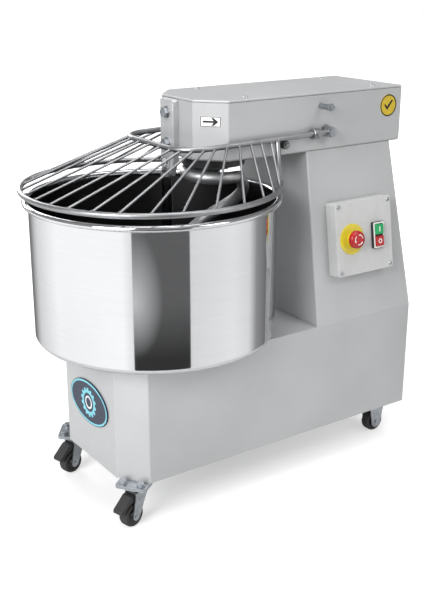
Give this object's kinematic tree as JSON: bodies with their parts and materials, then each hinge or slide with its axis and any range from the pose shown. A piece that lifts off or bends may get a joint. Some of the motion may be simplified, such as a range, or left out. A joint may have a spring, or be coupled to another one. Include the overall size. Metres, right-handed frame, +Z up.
{
  "type": "spiral dough mixer",
  "caption": "Free-standing spiral dough mixer on casters: turning bowl, spiral hook, breaker bar, tilting wire guard, leaning column with control box, belt drive inside.",
  "frame": {"origin": "on the floor, under the centre of the machine's overall length and width", "axes": "+Z up, -Y towards the bowl and the user, +Y towards the column, +X towards the control box"},
  "size_m": [0.5276, 0.8514, 0.8285],
  "materials": {
    "painted_casing": "satin silver-grey powder coat",
    "painted_frame": "grey primer",
    "polished_stainless": "mirror-polished stainless steel",
    "satin_stainless": "satin",
    "cast_iron": "machined cast iron",
    "machined_steel": "ground",
    "zinc_plate": "bright zinc plate",
    "motor_alloy": "painted aluminium, finned",
    "fan_cover_steel": "painted",
    "belt_rubber": "matte",
    "black_rubber": "matte",
    "black_plastic": "moulded",
    "yellow_plastic": "semi-gloss",
    "red_plastic": "gloss",
    "green_plastic": "gloss",
    "label_white": "printed film",
    "label_yellow": "printed film",
    "badge_navy": "domed badge"
  },
  "bodies": {
    "stand": {"body_shell": "painted_casing", "head_shell": "painted_casing", "head_cover": "painted_casing", "rear_panel": "painted_casing", "control_box": "painted_casing", "control_panel": "painted_casing", "drive_frame": "painted_frame", "floor_plate": "painted_frame", "head_base_plate": "painted_frame", "breaker_bar": "satin_stainless", "bowl_bearing_housing": "cast_iron", "spiral_bearing_housing": "cast_iron", "bearing_blocks": "cast_iron", "shaft_bearings": "machined_steel", "breaker_bolts": "zinc_plate", "caster_plates": "zinc_plate", "caster_bolts": "zinc_plate", "cover_screws": "zinc_plate", "panel_screws": "zinc_plate", "guard_pins": "zinc_plate", "rear_caster_forks": "zinc_plate", "motor_body": "motor_alloy", "motor_fan_cover": "fan_cover_steel", "motor_belt": "belt_rubber", "jack_belt": "belt_rubber", "bowl_belt": "belt_rubber", "spiral_belt": "belt_rubber", "guard_bumpers": "black_rubber", "guard_switch": "black_plastic", "contact_blocks": "black_plastic", "button_bezel": "black_plastic", "cable_gland": "black_plastic", "estop_plate": "yellow_plastic", "arrow_label": "label_white", "check_label": "label_yellow", "front_badge": "badge_navy"},
    "bowl": {"bowl": "polished_stainless", "bowl_hub": "cast_iron", "bowl_pulley": "cast_iron"},
    "spiral": {"spiral_hook": "polished_stainless", "spiral_shaft": "machined_steel", "spiral_pulley": "cast_iron"},
    "main_drive": {"main_shaft": "machined_steel", "main_pulleys": "cast_iron"},
    "jack_drive": {"jack_shaft": "machined_steel", "jack_pulleys": "cast_iron"},
    "motor_drive": {"motor_rotor": "machined_steel"},
    "guard": {"guard_frame": "satin_stainless", "guard_wires": "satin_stainless"},
    "estop": {"estop_button": "red_plastic"},
    "start_push": {"start_button": "green_plastic"},
    "stop_push": {"stop_button": "red_plastic"},
    "left_caster": {"left_caster_fork": "zinc_plate"},
    "right_caster": {"right_caster_fork": "zinc_plate"},
    "left_pedal": {"left_brake_pedal": "black_plastic"},
    "right_pedal": {"right_brake_pedal": "black_plastic"},
    "left_front_roller": {"left_front_wheel": "black_rubber"},
    "right_front_roller": {"right_front_wheel": "black_rubber"},
    "left_rear_roller": {"left_rear_wheel": "black_rubber"},
    "right_rear_roller": {"right_rear_wheel": "black_rubber"}
  },
  "joints": [
    {"name": "main_shaft_spin", "type": "hinge", "parent": "stand", "child": "main_drive", "pos_m": [0, 0.1772, 0], "axis": [0, 0, 1], "continuous": true},
    {"name": "motor_spin", "type": "hinge", "parent": "stand", "child": "motor_drive", "pos_m": [0, 0.3322, 0], "axis": [0, 0, 1], "continuous": true},
    {"name": "jack_spin", "type": "hinge", "parent": "stand", "child": "jack_drive", "pos_m": [0, 0.0322, 0], "axis": [0, 0, 1], "continuous": true},
    {"name": "bowl_spin", "type": "hinge", "parent": "stand", "child": "bowl", "pos_m": [0, -0.1578, 0], "axis": [0, 0, 1], "continuous": true},
    {"name": "spiral_spin", "type": "hinge", "parent": "stand", "child": "spiral", "pos_m": [0, -0.0108, 0], "axis": [0, 0, 1], "continuous": true},
    {"name": "guard_tilt", "type": "hinge", "parent": "stand", "child": "guard", "pos_m": [0, 0.1962, 0.746], "axis": [-1, 0, 0], "range_deg": [0, 60]},
    {"name": "estop_press", "type": "slide", "parent": "stand", "child": "estop", "axis": [-0.9892, 0, -0.1468], "range_m": [0, 0.004]},
    {"name": "start_press", "type": "slide", "parent": "stand", "child": "start_push", "axis": [-0.9892, 0, -0.1468], "range_m": [0, 0.003], "stiffness_N_per_m": 300},
    {"name": "stop_press", "type": "slide", "parent": "stand", "child": "stop_push", "axis": [-0.9892, 0, -0.1468], "range_m": [0, 0.003], "stiffness_N_per_m": 300},
    {"name": "left_caster_swivel", "type": "hinge", "parent": "stand", "child": "left_caster", "pos_m": [-0.1347, -0.292, 0], "axis": [0, 0, 1], "continuous": true},
    {"name": "left_front_wheel_spin", "type": "hinge", "parent": "left_caster", "child": "left_front_roller", "pos_m": [-0.13056, -0.30745, 0.025], "axis": [0.9659, 0.2588, 0], "continuous": true},
    {"name": "left_brake_press", "type": "hinge", "parent": "left_caster", "child": "left_pedal", "pos_m": [-0.13341, -0.29683, 0.064], "axis": [0.9659, 0.2588, 0], "range_deg": [0, 7]},
    {"name": "left_rear_wheel_spin", "type": "hinge", "parent": "stand", "child": "left_rear_roller", "pos_m": [-0.095, 0.3922, 0.025], "axis": [-1, 0, 0], "continuous": true},
    {"name": "right_caster_swivel", "type": "hinge", "parent": "stand", "child": "right_caster", "pos_m": [0.1347, -0.292, 0], "axis": [0, 0, 1], "continuous": true},
    {"name": "right_front_wheel_spin", "type": "hinge", "parent": "right_caster", "child": "right_front_roller", "pos_m": [0.13884, -0.30745, 0.025], "axis": [0.9659, 0.2588, 0], "continuous": true},
    {"name": "right_brake_press", "type": "hinge", "parent": "right_caster", "child": "right_pedal", "pos_m": [0.13599, -0.29683, 0.064], "axis": [0.9659, 0.2588, 0], "range_deg": [0, 7]},
    {"name": "right_rear_wheel_spin", "type": "hinge", "parent": "stand", "child": "right_rear_roller", "pos_m": [0.095, 0.3922, 0.025], "axis": [-1, 0, 0], "continuous": true}
  ],
  "couplings": [
    {"joint": "motor_spin", "follows": "main_shaft_spin", "ratio": 4},
    {"joint": "jack_spin", "follows": "main_shaft_spin", "ratio": 0.25},
    {"joint": "bowl_spin", "follows": "main_shaft_spin", "ratio": 0.035714},
    {"joint": "spiral_spin", "follows": "main_shaft_spin", "ratio": 0.3}
  ]
}
